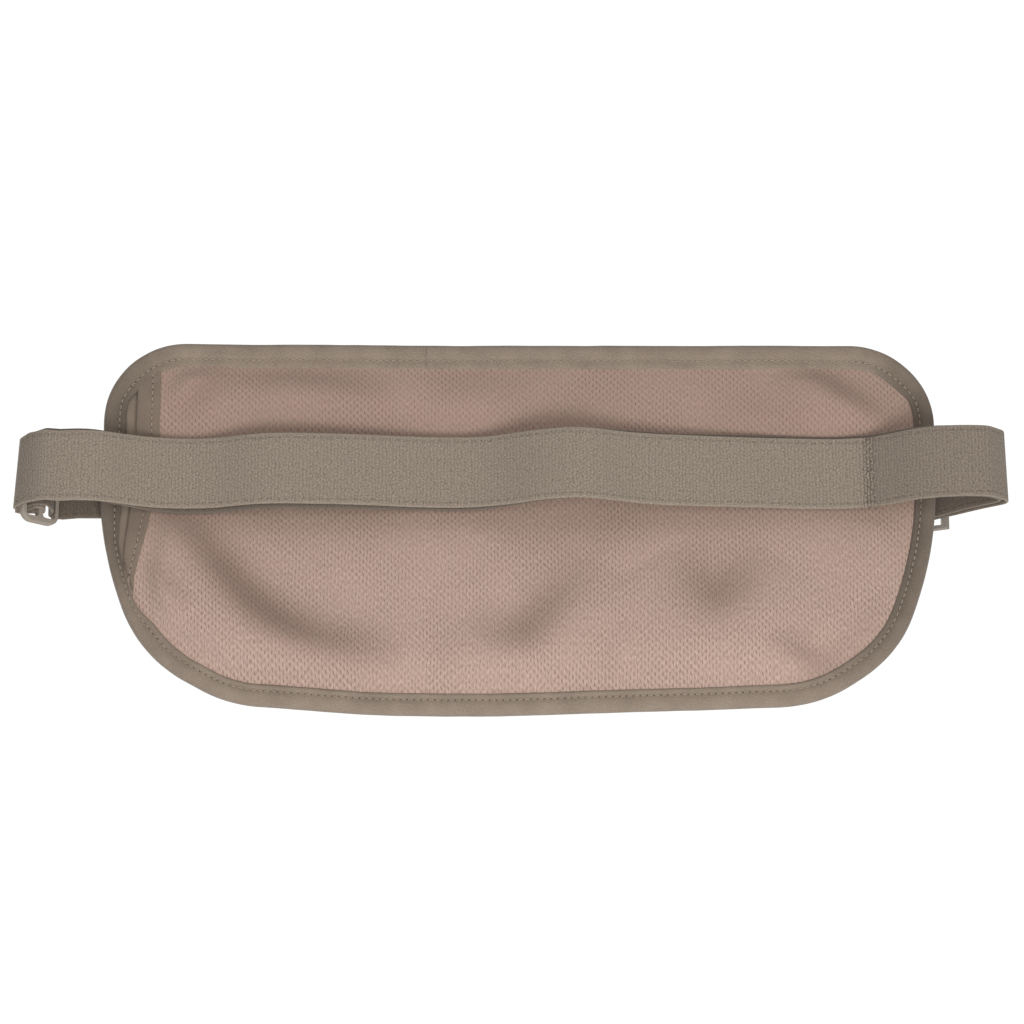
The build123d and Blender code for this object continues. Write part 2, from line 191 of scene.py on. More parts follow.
def mesh_surface():
    """Soft knit mesh: fine upright ribs with staggered slits between them."""
    cloth = Surface("mesh", 0.8, sheen=0.25)
    along, across, flat = cloth.mapped()
    wander = cloth.times(cloth.add(cloth.noise(flat, 0.1, 3.0), -0.5), 1.4)
    moved = cloth.add(along, wander)
    column = cloth.math("DIVIDE", moved, 1.2)
    stagger = cloth.times(cloth.math("MODULO", cloth.math("FLOOR", column), 2.0), 0.5)
    row = cloth.add(cloth.math("DIVIDE", across, 2.3), stagger)
    side = cloth.add(cloth.math("FRACT", column), -0.5)
    rise = cloth.add(cloth.math("FRACT", row), -0.5)
    slant = cloth.add(side, cloth.times(rise, 0.25))
    reach = cloth.add(
        cloth.math("POWER", cloth.math("DIVIDE", slant, 0.19), 2.0),
        cloth.math("POWER", cloth.math("DIVIDE", rise, 0.33), 2.0),
    )
    slit = cloth.between(reach, 0.1, 1.6, 1.0, 0.0)
    rib = cloth.ridge(moved, 1.2)
    combed = cloth.tree.nodes.new("ShaderNodeVectorMath")
    combed.operation = "MULTIPLY"
    cloth.put(combed.inputs[0], flat)
    combed.inputs[1].default_value = (1.0, 0.28, 1.0)
    fine = cloth.noise(combed.outputs[0], 2.4, 3.0, 0.65)
    broad = cloth.noise(flat, 0.05, 2.0)
    showing = cloth.between(cloth.noise(flat, 0.045, 2.0), 0.35, 0.65, 0.2, 0.5)
    body = cloth.mix(cloth.between(fine, 0.25, 0.75), srgb(154, 128, 115), srgb(203, 176, 162))
    body = cloth.mix(cloth.times(broad, 0.25), body, srgb(142, 117, 104))
    # Painted shade: the panel darkens towards its top
    body = cloth.mix(cloth.between(across, -25.0, 25.0, 0.0, 0.5), body, srgb(140, 114, 100))
    body = cloth.mix(cloth.times(rib, 0.12), body, srgb(198, 173, 159))
    # Painted shade next to the folds
    body = cloth.mix(cloth.times(cloth.marked("painted_shade"), 0.62), body, srgb(112, 88, 75))
    # The slits are painted dark: partly the lining seen through them, partly painted shade inside them
    colour = cloth.mix(cloth.times(slit, showing), body, srgb(104, 83, 72))
    height = cloth.add(cloth.times(fine, 0.4), cloth.times(slit, -0.6))
    return cloth.finish(colour, height, 0.00022)


def tape_surface(name, dark, light, rib=0.45, sheen=0.15):
    """Plain woven tape: fine ribs across it."""
    cloth = Surface(name, 0.85, sheen=sheen)
    along, across, flat = cloth.mapped()
    weave = cloth.times(cloth.ridge(along, rib), cloth.ridge(across, rib, 0.5))
    broad = cloth.noise(flat, 0.12, 3.0)
    grain = cloth.between(cloth.noise(flat, 2.2, 2.0, 0.6), 0.28, 0.72)
    tone = cloth.add(cloth.times(broad, 0.6), cloth.times(grain, 0.4))
    height = cloth.add(cloth.times(weave, 0.6), cloth.times(grain, 0.4))
    colour = cloth.mix(tone, dark, light)
    # Painted shade, read from the points of pieces that carry it
    colour = cloth.mix(cloth.times(cloth.marked("painted_shade"), 0.6), colour, srgb(62, 53, 45))
    return cloth.finish(colour, height, 0.00012)


def ripstop_surface():
    """Coated nylon with a raised square grid of heavier threads."""
    cloth = Surface("shell_cloth", 0.62, sheen=0.1)
    along, across, flat = cloth.mapped()
    grid = cloth.math(
        "MAXIMUM",
        cloth.between(cloth.ridge(along, 5.0), 0.1, 0.22, 1.0, 0.0),
        cloth.between(cloth.ridge(across, 5.0), 0.1, 0.22, 1.0, 0.0),
    )
    weave = cloth.times(cloth.ridge(along, 0.5), cloth.ridge(across, 0.5, 0.5))
    broad = cloth.noise(flat, 0.06, 3.0)
    tone = cloth.add(cloth.times(broad, 0.7), cloth.times(grid, 0.22))
    colour = cloth.mix(tone, srgb(118, 106, 94), srgb(156, 143, 129))
    height = cloth.add(cloth.times(grid, 0.7), cloth.times(weave, 0.3))
    return cloth.finish(colour, height, 0.0001)


def herringbone_surface():
    """Zip tape: slanted ribs that turn back at each column."""
    cloth = Surface("zip_tape", 0.85, sheen=0.1)
    along, across, flat = cloth.mapped()
    fold = cloth.math("PINGPONG", across, 1.6)
    twill = cloth.ridge(cloth.add(along, cloth.times(fold, 0.8)), 0.55)
    grain = cloth.noise(flat, 1.2, 3.0)
    tone = cloth.add(cloth.times(twill, 0.35), cloth.times(grain, 0.6))
    colour = cloth.mix(tone, srgb(98, 87, 76), srgb(134, 122, 109))
    return cloth.finish(colour, twill, 0.0001)


def hard_surface(name, dark, light, roughness, metallic=0.0, grain=900.0, depth=0.00003):
    """Moulded or cast material with a faint grain and worn patches."""
    stuff = Surface(name, roughness, metallic=metallic)
    place = stuff.solid()
    fine = stuff.noise(place, grain, 2.0, 0.6)
    broad = stuff.noise(place, 120.0, 3.0)
    tone = stuff.add(stuff.times(broad, 0.7), stuff.times(fine, 0.3))
    rough = stuff.add(stuff.times(broad, 0.25), roughness - 0.12)
    stuff.put(stuff.shader.inputs["Roughness"], rough)
    stuff.put(stuff.shader.inputs["Specular IOR Level"], 0.3)
    return stuff.finish(stuff.mix(tone, dark, light), fine, depth)


WEBBING = webbing_surface()
MESH = mesh_surface()
BINDING = tape_surface("binding", srgb(112, 99, 86), srgb(168, 152, 136))
HEM = tape_surface("hem", srgb(106, 93, 80), srgb(146, 129, 115))
LINING = tape_surface("lining", srgb(124, 109, 95), srgb(158, 142, 126), rib=0.3)
SHELL = ripstop_surface()
ZIP_TAPE = herringbone_surface()
COIL = hard_surface("zip_coil", srgb(96, 86, 75), srgb(126, 115, 102), 0.4)
ZIP_METAL = hard_surface("zip_metal", srgb(104, 96, 87), srgb(140, 131, 120), 0.35, 0.6)
BUCKLE = hard_surface("buckle_plastic", srgb(132, 123, 114), srgb(160, 151, 141), 0.6)
TRIGLIDE = hard_surface("triglide_plastic", srgb(138, 128, 117), srgb(166, 155, 143), 0.58)
THREAD = hard_surface("thread", srgb(140, 127, 112), srgb(176, 162, 145), 0.8, grain=4000.0)
# Dark caps at the stitch ends: painted shade inside the needle holes
NEEDLE_HOLE_SHADE = hard_surface("needle_hole_shade", srgb(76, 66, 57), srgb(90, 80, 70), 0.95)

# -------------------------------------------------------------------- geometry


def grid_faces(rows, columns, wrap_columns=False, wrap_rows=False):
    """Quads over points stored row by row."""
    last_row = rows if wrap_rows else rows - 1
    last_column = columns if wrap_columns else columns - 1
    row, column = np.meshgrid(np.arange(last_row), np.arange(last_column), indexing="ij")
    row_after = (row + 1) % rows
    column_after = (column + 1) % columns
    corners = (
        row * columns + column,
        row * columns + column_after,
        row_after * columns + column_after,
        row_after * columns + column,
    )
    return np.stack(corners, -1).reshape(-1, 4)


def piece(name, points, faces, materials, uv=None, body="pouch", face_slots=None, painted_shade=None):
    """A mesh object from points in millimetres that rides on a body."""
    mesh = bpy.data.meshes.new(name)
    mesh.from_pydata((np.asarray(points) * 0.001).tolist(), [], [list(map(int, f)) for f in faces])
    for material in materials if isinstance(materials, list) else [materials]:
        mesh.materials.append(material)
    if face_slots is not None:
        mesh.polygons.foreach_set("material_index", np.asarray(face_slots, dtype=np.int32))
    if uv is not None:
        corner = np.empty(len(mesh.loops), dtype=np.int32)
        mesh.loops.foreach_get("vertex_index", corner)
        layer = mesh.uv_layers.new(name="UVMap")
        layer.data.foreach_set("uv", np.asarray(uv, dtype=np.float32)[corner].ravel())
    build = bmesh.new()
    build.from_mesh(mesh)
    bmesh.ops.recalc_face_normals(build, faces=build.faces)
    build.to_mesh(mesh)
    build.free()
    mesh.shade_smooth()
    for polygon in mesh.polygons:
        polygon.use_smooth = len(polygon.vertices) <= 6
    made = bpy.data.objects.new(name, mesh)
    scene.collection.objects.link(made)
    # Painted shade, stored on the points for the material to read
    if painted_shade is not None:
        mark_points(made, "painted_shade", painted_shade)
    if body:
        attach(made, body)
    return made


def mark_points(made, name, values):
    """Stores a number on each point, which a material reads by its name."""
    mark = made.data.attributes.new(name, "FLOAT", "POINT")
    mark.data.foreach_set("value", np.ravel(values).astype(np.float32))


def unit(vectors):
    return vectors / np.linalg.norm(vectors, axis=-1, keepdims=True)


def resample(points, step, closed=False):
    """The same line as evenly spaced points."""
    points = np.asarray(points, float)
    if closed:
        points = np.vstack([points, points[:1]])
    run = np.concatenate([[0], np.cumsum(np.linalg.norm(np.diff(points, axis=0), axis=1))])
    count = max(4, int(round(run[-1] / step)) + 1)
    at = np.linspace(0, run[-1], count)
    even = np.stack([np.interp(at, run, points[:, k]) for k in range(points.shape[1])], -1)
    return even[:-1] if closed else even


def rounded_line(corners, radii, closed=False, step=0.5):
    """Straight runs between corners, each corner rounded, as evenly spaced points."""
    corners = np.array(corners, float)
    count = len(corners)
    turns = range(count) if closed else range(1, count - 1)
    points = [] if closed else [corners[0]]
    for k in turns:
        before, corner, after = corners[k - 1], corners[k], corners[(k + 1) % count]
        into, out = unit(corner - before), unit(after - corner)
        cross = into[0] * out[1] - into[1] * out[0]
        turn = math.atan2(cross, float(into @ out))
        room = min(np.linalg.norm(corner - before), np.linalg.norm(after - corner))
        radius = radii[(k - (0 if closed else 1)) % len(radii)]
        limit = 0.48 * room / max(math.tan(abs(turn) / 2), 1e-6)
        if not closed:
            radius = min(radius, limit)
        start = corner - into * radius * math.tan(abs(turn) / 2)
        side = math.copysign(1, turn)
        centre = start + side * radius * np.array([-into[1], into[0]])
        for angle in np.linspace(0, turn, max(3, int(radius * abs(turn) / step) + 2)):
            spoke = start - centre
            turned = [
                spoke[0] * math.cos(angle) - spoke[1] * math.sin(angle),
                spoke[0] * math.sin(angle) + spoke[1] * math.cos(angle),
            ]
            points.append(centre + turned)
    if not closed:
        points.append(corners[-1])
    return resample(points, step, closed)


def smoothed(points, times):
    """Softens the bends of an open line, ends kept."""
    points = points.copy()
    for _ in range(times):
        points[1:-1] = (points[:-2] + 2 * points[1:-1] + points[2:]) / 4
    return points


def rough(x, z, size, seed=0.0):
    """Smooth random numbers, about -1..1, that vary over the given distance."""
    return np.array(
        [noise.noise(Vector((a / size, b / size, seed))) for a, b in zip(np.ravel(x), np.ravel(z))]
    ).reshape(np.shape(x))


# --------------------------------------------------------------- pouch outline

pouch_low, pouch_high = box_mm("edge_binding")
half_width = pouch_high[0]
top, bottom = pouch_high[2], pouch_low[2]
right_corners = [(half_width, top - 0.2), (half_width, -4.7), (129.0, -44.0), (100.6, -62.0)]
left_corners = [(-98.0, -61.2), (-127.2, -44.6), (-half_width, -4.7), (-half_width, top + 0.7)]
corner_radii = [29.0, 131.0, 47.0, 50.0]
outline_step = 0.65
outline = rounded_line(
    [(-20, top - 0.2), *right_corners, (-36, bottom + 0.1), *left_corners],
    [3000.0, *corner_radii, 600.0, *corner_radii[::-1]],
    closed=True,
    step=outline_step,
)
outline_tangent = unit(np.roll(outline, -1, axis=0) - np.roll(outline, 1, axis=0))
outline_inward = np.stack([outline_tangent[:, 1], -outline_tangent[:, 0]], -1)


def reach_of(x, inset):
    """The lowest and highest z of the outline, drawn in by inset, at each x."""
    line = outline + outline_inward * inset
    lower = line[outline_inward[:, 1] > 0]
    upper = line[outline_inward[:, 1] <= 0]
    lower = lower[np.argsort(lower[:, 0])]
    upper = upper[np.argsort(upper[:, 0])]
    return np.interp(x, lower[:, 0], lower[:, 1]), np.interp(x, upper[:, 0], upper[:, 1])


def edge_distance(x, z):
    """How far points inside the outline are from it."""
    flat = np.stack([np.ravel(x), np.ravel(z)], -1)
    rim = outline[::2]
    gaps = [
        np.min(np.hypot(part[:, None, 0] - rim[:, 0], part[:, None, 1] - rim[:, 1]), 1)
        for part in np.array_split(flat, 1 + len(flat) // 2000)
    ]
    return np.concatenate(gaps).reshape(np.shape(x))


# ---------------------------------------------------------------- edge binding

# The row of stitches lies this far in from the edge
stitch_inset = 5.1
stitch_pitch = 2.3

# The tape shows wider along the top than round the rest
binding_extra = 1.3 * np.clip((outline[:, 1] - 48) / 10, 0, 1)


def rolled_under(z):
    """How far the tape is rolled towards the body side at the left, where its visible lip is narrow."""
    return np.clip((6 - z) / 12, 0, 1) * np.clip((z + 38) / 9, 0, 1)


binding_rolled = -1.4 * rolled_under(outline[:, 1]) * (outline[:, 0] < 0)


def edge_binding():
    """The folded tape round the edge: flat lips, a soft rolled edge and a sunk stitch line."""
    lip, half = 7.3, 2.95
    section = [(lip, 1.9), (lip + 0.05, 2.5), (lip - 0.35, half - 0.1), (6.6, half), (5.9, half)]
    section += [(stitch_inset, half - 0.6), (4.4, half - 0.15), (3.4, half - 0.05), (2.2, half - 0.2)]
    section += [(1.1, half - 0.65), (0.45, half - 1.35)]
    depth = np.array([p[0] for p in section] + [0.05] + [p[0] for p in section[::-1]])
    level = np.array([-p[1] for p in section] + [0.0] + [p[1] for p in section[::-1]])
    count = len(outline)
    run = np.arange(count) * outline_step
    roll = 0.28 * rough(run, run * 0, 26.0, 3.1) + 0.12 * rough(run, run * 0, 7.0, 9.4)
    roll += 1.9 * np.exp(-(((outline[:, 0] + 138) / 9) ** 2) - ((outline[:, 1] - 36) / 15) ** 2)
    pucker = 0.14 * np.cos(run * 2 * math.pi / stitch_pitch)
    wave = 0.22 * rough(run, run * 0, 19.0, 5.7)
    inward = depth[None, :] + roll[:, None] * np.clip(depth / 3, 0.6, 1)[None, :]
    extra = binding_extra[:, None] + binding_rolled[:, None] * (level < 0)
    past_stitch = np.clip((depth - stitch_inset) / 2, 0, 1)
    inward = inward + extra * (np.clip(depth / stitch_inset, 0, 1) + 0.85 * past_stitch)
    at_stitch = np.exp(-(((depth - stitch_inset) / 0.9) ** 2))
    flat = level[None, :] + np.sign(level)[None, :] * pucker[:, None] * at_stitch[None, :]
    flat = flat + wave[:, None]
    points = np.empty((count, len(depth), 3))
    points[:, :, 0] = outline[:, None, 0] + outline_inward[:, None, 0] * inward
    points[:, :, 1] = flat
    points[:, :, 2] = outline[:, None, 1] + outline_inward[:, None, 1] * inward
    girth = np.concatenate([[0], np.cumsum(np.hypot(np.diff(depth), np.diff(level)))])
    uv = np.stack(np.broadcast_arrays(run[:, None], girth[None, :]), -1)
    faces = grid_faces(count, len(depth), wrap_rows=True)
    # Painted shade on the body-side lip: darker where the tape faces sideways, less so low on the left
    turned = np.abs(outline_inward[:, 0]) ** 1.5
    low_left = np.clip((-14 - outline[:, 1]) / 12, 0, 1) * (outline[:, 0] < 0)
    shade_amount = turned * (1 - 0.7 * low_left)
    shade_amount = shade_amount[:, None] * np.clip(0.55 + depth[None, :] / 12, 0, 1) * (level[None, :] < 0)
    uv = uv.reshape(-1, 2)
    made = piece("binding_tape", points.reshape(-1, 3), faces, BINDING, uv, painted_shade=shade_amount)
    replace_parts(made, "edge_binding")
    return roll, wave


binding_roll, binding_wave = edge_binding()

# ---------------------------------------------------------------------- sewing


def stitches(name, line, normal, pitch=stitch_pitch, fill=0.72, radius=0.21, body="pouch", lift=0.1):
    """A row of stitches along a 3-D line: each is a bead of thread with a needle hole at its end, painted
    dark as the shade inside it.
    """
    line = resample(line, pitch / 2)
    count = (len(line) - 1) // 2
    normal = np.asarray(normal, float)
    points, faces, slots = [], [], []
    ring = 6
    stations = np.array([-1.0, -0.8, 0.0, 0.8, 1.0])
    swell = np.array([0.25, 0.75, 1.0, 0.75, 0.25])
    height = np.array([-0.9, 0.05, 0.7, 0.05, -0.9])
    for k in range(count):
        start, end = line[2 * k], line[2 * k + 2]
        middle, along = (start + end) / 2, unit(end - start)
        across = unit(np.cross(along, normal))
        first = len(points)
        for station, width, rise in zip(stations, swell, height):
            centre = middle + along * station * pitch * fill / 2 + normal * (rise * radius + lift)
            for angle in np.arange(ring) * 2 * math.pi / ring:
                offset = across * math.cos(angle) + normal * math.sin(angle)
                points.append(centre + offset * radius * width)
        tube = grid_faces(len(stations), ring, wrap_columns=True) + first
        caps = [list(range(start, start + ring)) for start in (first, len(points) - ring)]
        faces += tube.tolist() + caps
        slots += [0] * (len(tube) + 2)
        first = len(points)
        sides = ((1, 0), (0, 1), (-1, 0), (0, -1))
        rim = [end + radius * 1.35 * (along * a + across * b) for a, b in sides]
        points += [p + normal * (lift - 0.02) for p in rim]
        points += [end + normal * (lift + 0.05), end - normal * 0.2]
        for a, b in ((0, 1), (1, 2), (2, 3), (3, 0)):
            faces += [[first + a, first + b, first + 4], [first + b, first + a, first + 5]]
        slots += [1] * 8
    return piece(name, points, faces, [THREAD, NEEDLE_HOLE_SHADE], body=body, face_slots=slots)


def binding_stitch(name, side):
    inset = stitch_inset + binding_roll + binding_extra + binding_rolled * (side < 0)
    line = outline + outline_inward * inset[:, None]
    level = side * 2.38 + binding_wave
    points = np.stack([line[:, 0], level, line[:, 1]], -1)
    stitches(name, np.vstack([points, points[:1]]), (0, side, 0))


binding_stitch("binding_stitch_body_side", -1)
binding_stitch("binding_stitch_outer_side", 1)

# ----------------------------------------------------------------- cloth layers


def cloth(name, across, low, high, level, thickness, material, slot, spacing=1.4, goes_with=()):
    """A thin panel between two heights; level(x, z) is the depth of its face nearest the body."""
    rows = max(4, int(np.max(high - low) / spacing))
    share = np.linspace(0, 1, rows)
    z = low[:, None] + (high - low)[:, None] * share[None, :]
    x = np.broadcast_to(across[:, None], z.shape)
    near = level(x, z)
    rim = np.minimum(share, 1 - share)[None, :] * (high - low)[:, None]
    tuck = thickness * 0.5 * np.clip(1 - rim / (thickness * 0.8), 0, 1) * 0.8
    ring_x = np.concatenate([x, x[:, ::-1]], 1)
    ring_y = np.concatenate([near + tuck, (near + thickness - tuck)[:, ::-1]], 1)
    ring_z = np.concatenate([z, z[:, ::-1]], 1)
    points = np.stack([ring_x, ring_y, ring_z], -1).reshape(-1, 3)
    uv = np.stack([ring_x, ring_z], -1).reshape(-1, 2)
    columns = 2 * rows
    faces = grid_faces(len(across), columns, wrap_columns=True).tolist()
    last = (len(across) - 1) * columns
    for first in (0, last):
        for k in range(rows - 1):
            faces.append([first + k, first + k + 1, first + columns - 2 - k, first + columns - 1 - k])
    made = piece(name, points, faces, material, uv)
    return made


def span(start, end, spacing=1.4):
    return np.linspace(start, end, int(abs(end - start) / spacing) + 2)


def ridge_along(x, z, path, steep, gentle, height):
    """A soft ridge along a line, steep on the line's left and gentle on its right, and how much
    painted shade each point takes on its steep side."""
    path = smoothed(resample(path, 1.5), 30)
    heading = unit(np.gradient(path, axis=0))
    fade = np.sin(np.linspace(0, 1, len(path)) * math.pi) ** 0.9
    across, upward = x[..., None] - path[:, 0], z[..., None] - path[:, 1]
    gap = np.hypot(across, upward)
    nearest = np.argmin(gap, -1)[..., None]
    side = heading[:, 0] * upward - heading[:, 1] * across
    side = np.take_along_axis(side, nearest, -1)[..., 0]
    width = gentle + (steep - gentle) / (1 + np.exp(-side / 0.8))
    tall = height * fade[nearest[..., 0]]
    # Painted shade on the steep side of the fold
    painted_shade = np.exp(-(((side - 0.9 * steep) / (0.8 * steep)) ** 2)) * (np.min(gap, -1) < 2.5 * steep)
    return tall * np.exp(-((np.min(gap, -1) / width) ** 2)), tall * painted_shade / 5.0


strap_low, strap_high = box_mm("strap_front_inner")
strap_middle = (strap_low[2] + strap_high[2]) / 2

# Folds of the mesh: the line of each crest, the widths of its steep and gentle sides, its height
mesh_folds = [
    ([(-132, 18), (-119, -3), (-105, -22), (-91, -37), (-75, -46), (-58, -50), (-38, -55)], 9.5, 15.0, 5.2),
    ([(-130, -12), (-121, -24), (-112, -34)], 5.0, 6.0, 1.8),
    ([(-22, -36), (-10, -46), (4, -47), (16, -36), (25, -24), (31, -14)], 10.0, 13.0, 3.2),
    ([(44, -12), (54, -28), (66, -37), (80, -28), (92, -14)], 12.0, 15.0, 3.8),
    ([(82, -42), (94, -51), (108, -56)], 6.0, 6.0, 2.2),
    ([(96, -58), (110, -50), (122, -38), (131, -20)], 6.0, 6.0, 1.5),
    ([(33, -60), (35, -36)], 3.5, 3.5, 0.5),
    ([(-103, 64), (-110, 52), (-122, 42)], 6.0, 5.0, 2.6),
    ([(90, 57), (105, 47), (127, 32)], 5.5, 9.0, 3.0),
    ([(62, 36), (86, 33), (114, 32)], 9.0, 6.0, 1.2),
    ([(-104, 46), (-76, 48), (-40, 42)], 7.0, 10.0, 2.0),
    ([(-30, 40), (-14, 44), (6, 40)], 9.0, 9.0, 0.9),
]


def mesh_bulge(x, z):
    """How far the mesh stands off the pouch, towards the body, and the painted shade next to its folds."""
    inside = np.clip((edge_distance(x, z) - 8.3) / 14.0, 0, 1)
    held = np.exp(-(np.clip(np.abs(z - strap_middle) - 10.5, 0, None) / 8.0) ** 2)
    height = np.interp(z, [-40, 10], [4.2, 1.9]) * np.sin(inside * math.pi / 2)
    free = np.clip(inside * 2.5, 0, 1) * np.clip((x - hem_edge(z) - 7.5) / 7.0, 0.1, 1)
    painted_shade = 0.0
    for path, steep, gentle, tall in mesh_folds:
        ridge, fold_shade = ridge_along(x, z, path, steep, gentle, tall)
        height = height + free * ridge
        painted_shade = painted_shade + fold_shade
    height = height + 0.8 * inside * rough(x, z, 34.0, 1.7) + 0.16 * inside * rough(x, z, 11.0, 4.2)
    return height * (1 - 0.94 * held), np.clip(painted_shade, 0, 1)


def mesh_level(x, z):
    """The depth of the mesh's face, which dips where the binding grips it."""
    gripped = np.clip((7.6 - edge_distance(x, z)) / 4.5, 0, 1)
    return -2.5 + 1.6 * gripped - mesh_bulge(x, z)[0]


hem_heights = [-34, -26, -17, -10, -1.5, 10, 20, 70]


def hem_edge(z):
    """The x of the opening's folded edge at each height."""
    return np.interp(z, hem_heights, [-137.0, -136.2, -135.3, -134.0, -132.7, -131.2, -130.3, -130.1])


def hem_width(z):
    """The hem's width at each height, as far as it shows."""
    return np.interp(z, hem_heights, [6.2, 6.0, 5.6, 5.9, 6.9, 7.6, 8.05, 8.05])


def left_side(z, inset):
    """The x of the outline's left side, drawn in by inset, at each height."""
    line = outline + outline_inward * inset
    side = line[outline_inward[:, 0] > 0.1]
    side = side[np.argsort(side[:, 1])]
    return np.interp(z, side[:, 1], side[:, 0])


def mesh_panel(hem):
    across = span(-half_width + 3.5, half_width - 2.0)
    low, high = reach_of(across, 2.0)
    made = cloth("mesh_panel", across, low, high, mesh_level, 0.4, MESH, "mesh", goes_with=[hem])
    co = np.empty(len(made.data.vertices) * 3)
    made.data.vertices.foreach_get("co", co)
    co = co.reshape(-1, 3)
    co[:, 0] = np.maximum(co[:, 0], (hem_edge(co[:, 2] * 1000) + 0.8) * 0.001)
    made.data.vertices.foreach_set("co", co.ravel())
    # Painted shade next to the folds, stored on the points
    mark_points(made, "painted_shade", mesh_bulge(co[:, 0] * 1000, co[:, 2] * 1000)[1])
    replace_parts(made, "back_mesh_panel")


def hem_tape():
    """The folded hem of the pocket's opening, a strip with a rolled outer edge."""
    z = span(-33.0, box_mm("mesh_hem_tape")[1][2] + 1, 0.8)
    low_edge = hem_edge(z)
    section = [(0.5, 0.75), (0.1, 0.5), (0.0, 0.2), (0.12, -0.1), (0.5, -0.3), (1.4, -0.36)]
    section += [(2.6, -0.38), (4.2, -0.36), (5.3, -0.12), (6.4, -0.3), (7.4, -0.3)]
    section += [(8.0, -0.12), (8.05, 0.25)]
    out = np.array([p[0] for p in section])[None, :] * hem_width(z)[:, None] / 8.05
    rise = np.array([p[1] for p in section])
    drift = 0.25 * rough(z, z * 0, 14.0, 2.2)
    pucker = 0.12 * np.cos(z * 2 * math.pi / stitch_pitch)
    stitched = 5.3 * hem_width(z) / 8.05
    at_stitch = np.exp(-(((out - stitched[:, None]) / 0.8) ** 2))
    x = low_edge[:, None] + drift[:, None] + out
    x = np.maximum(x, left_side(z, 4.0)[:, None] + 0.02 * out)
    height = np.broadcast_to(z[:, None], x.shape)
    tucked = np.clip((8.6 - 2.7 * rolled_under(height) - edge_distance(x, height)) / 2.2, 0, 1)
    base = mesh_level(x, height) - 0.25 + 1.4 * tucked
    y = base + rise[None, :] + pucker[:, None] * at_stitch
    points = np.stack([x, y, height], -1)
    uv = np.stack(np.broadcast_arrays(z[:, None], out), -1)
    faces = grid_faces(len(z), len(section))
    made = piece("hem_tape", points.reshape(-1, 3), faces, HEM, uv.reshape(-1, 2))
    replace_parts(made, "mesh_hem_tape")
    row = np.stack([low_edge + drift + stitched, base[:, 8] - 0.12, z], -1)
    keep = z > -22
    stitches("hem_stitch", row[keep][::-1], (0, -1, 0), radius=0.22)
    return made


mesh_panel(hem_tape())


def lining_level(x, z):
    return -1.42 + 0.22 * rough(x, z, 30.0, 6.1)


def divider_level(x, z):
    return -0.2 + 0.2 * rough(x, z, 36.0, 8.3)


def inner_layer(name, level, node):
    across = span(-half_width + 1.4, half_width - 1.4, 2.5)
    low, high = reach_of(across, 1.2)
    made = cloth(name, across, low, high, level, 0.3, LINING, "lining", spacing=2.5)
    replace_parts(made, node)


inner_layer("lining_sheet", lining_level, "lining_panel")
inner_layer("divider_sheet", divider_level, "pocket_divider")


def outer_cloth(node, name):
    """One panel of the outer face, with folded and sewn edges beside the zips."""
    low_corner, high_corner = box_mm(node)
    wide = span(-half_width + 2.0, half_width - 2.0, 1.6)
    low, high = reach_of(wide, 2.0)
    low = np.maximum(low, low_corner[2])
    high = np.minimum(high, high_corner[2])
    room = high - low > 1.0
    wide, low, high = wide[room], low[room], high[room]

    def level(x, z):
        from_edge = edge_distance(x, z)
        inside = np.clip((from_edge - 8.0) / 14.0, 0, 1)
        rim = np.minimum(np.abs(z - low_corner[2]), np.abs(high_corner[2] - z))
        fold = np.clip(rim / 6.0, 0, 1)
        sewn = -0.18 * np.exp(-(((rim - 2.0) / 0.6) ** 2))
        puff = 0.8 * inside * fold + 0.25 * inside * rough(x, z, 27.0, low_corner[2])
        gripped = 1.2 * np.clip((9.8 - from_edge) / 4.0, 0, 1)
        clear_x = np.clip(np.minimum(x + 88, np.abs(x - 68) - 26) / 5, 0, 1)
        clear_z = np.clip((np.abs(z - strap_middle) - 13.5) / 4, 0, 1)
        puff = np.clip(puff, -0.1, None) * np.maximum(clear_x, clear_z)
        return low_corner[1] + 0.1 + puff + sewn * (inside > 0) - gripped

    made = cloth(name, wide, low, high, level, 0.5, SHELL, "shell_cloth", spacing=1.0)
    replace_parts(made, node)
    for label, edge, inward in (("low", low_corner[2], 1), ("high", high_corner[2], -1)):
        if abs(edge) > 60:
            continue
        z = edge + inward * 2.0
        x = span(-half_width + 8.5, half_width - 8.5, 1.7)
        y = level(x, np.full_like(x, z)) + 0.5
        line = np.stack([x, y, np.full_like(x, z)], -1)
        stitches(f"{name}_{label}_stitch", line, (0, 1, 0), pitch=2.8, radius=0.2)


outer_cloth("front_top_panel", "top_cloth")
outer_cloth("front_middle_panel", "middle_cloth")
outer_cloth("front_lower_panel", "lower_cloth")

# ------------------------------------------------------------------------ zips


def zip_set(prefix):
    """The tapes of one zip and the coils sewn to them."""
    for side in ("top", "bottom"):
        node = f"{prefix}_tape_{side}"
        low_corner, high_corner = box_mm(node)
        across = span(low_corner[0], high_corner[0], 2.0)
        low, high = reach_of(across, 1.5)
        low = np.maximum(low, low_corner[2])
        high = np.minimum(high, high_corner[2])
        room = high - low > 0.5
        across, low, high = across[room], low[room], high[room]

        def level(x, z):
            return np.full_like(x, low_corner[1] + 0.02)

        made = cloth(f"{prefix}_{side}_tape_cloth", across, low, high, level, 0.46, ZIP_TAPE, "zip_tape")
        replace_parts(made, node)
        coil(f"{prefix}_coil_{side}", 1 if side == "top" else -1)


